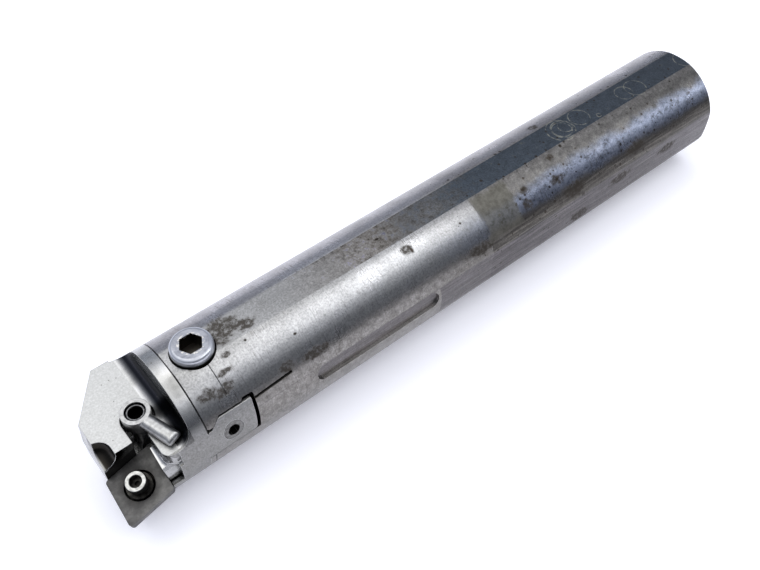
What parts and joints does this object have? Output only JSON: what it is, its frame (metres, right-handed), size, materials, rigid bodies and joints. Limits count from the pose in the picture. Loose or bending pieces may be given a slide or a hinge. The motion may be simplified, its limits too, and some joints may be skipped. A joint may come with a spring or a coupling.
{
  "type": "boring bar",
  "caption": "Round steel boring bar with a slit hooked jaw that grips the tongue of a cutting head, an open rhombic insert pocket with shim and lock pin, and a swing-aside finger clamp.",
  "frame": {"origin": "on the bar's axis, 85 mm in from the rear end face, within the gripped length of the shank", "axes": "+X runs along the bar from the cutting head to the rear end, +Z is out of the top flat and -Y is the cutting side"},
  "size_m": [0.3188, 0.0563, 0.0534],
  "materials": {
    "ground_steel": "ground steel, stained and scratched by use",
    "milled_steel": "milled and ground steel, finely pitted",
    "dark_screw_steel": "black-oxide screw steel with bright rubbed edges",
    "shim_carbide": "matt grey sintered carbide",
    "clamp_steel": "satin plated steel"
  },
  "bodies": {
    "bar_and_head": {"bar": "ground_steel", "cutting_head": "milled_steel", "tongue_set_screw": "dark_screw_steel", "shim": "shim_carbide"},
    "jaw_clamp_screw": {"jaw_clamp_screw": "dark_screw_steel"},
    "finger_clamp": {"finger_clamp": "clamp_steel"},
    "clamp_screw": {"clamp_screw": "dark_screw_steel"},
    "lock_pin": {"lock_pin": "dark_screw_steel"}
  },
  "joints": [
    {"name": "clamp_swing", "type": "hinge", "parent": "bar_and_head", "child": "finger_clamp", "pos_m": [-0.2128, -0.0024, 0.012], "axis": [0, 0, 1], "range_deg": [-48, 0]},
    {"name": "clamp_screw_turn", "type": "hinge", "parent": "bar_and_head", "child": "clamp_screw", "pos_m": [-0.2128, -0.0024, 0], "axis": [0, 0, 1], "range_deg": [-360, 360]},
    {"name": "jaw_screw_turn", "type": "hinge", "parent": "bar_and_head", "child": "jaw_clamp_screw", "pos_m": [-0.1861, 0, 0.0185], "axis": [0, 0, 1], "range_deg": [0, 360]},
    {"name": "lock_pin_turn", "type": "hinge", "parent": "bar_and_head", "child": "lock_pin", "pos_m": [-0.2239, -0.0181, -0.0035], "axis": [-0.1456, -0.1718, 0.9743], "range_deg": [-360, 360]}
  ]
}
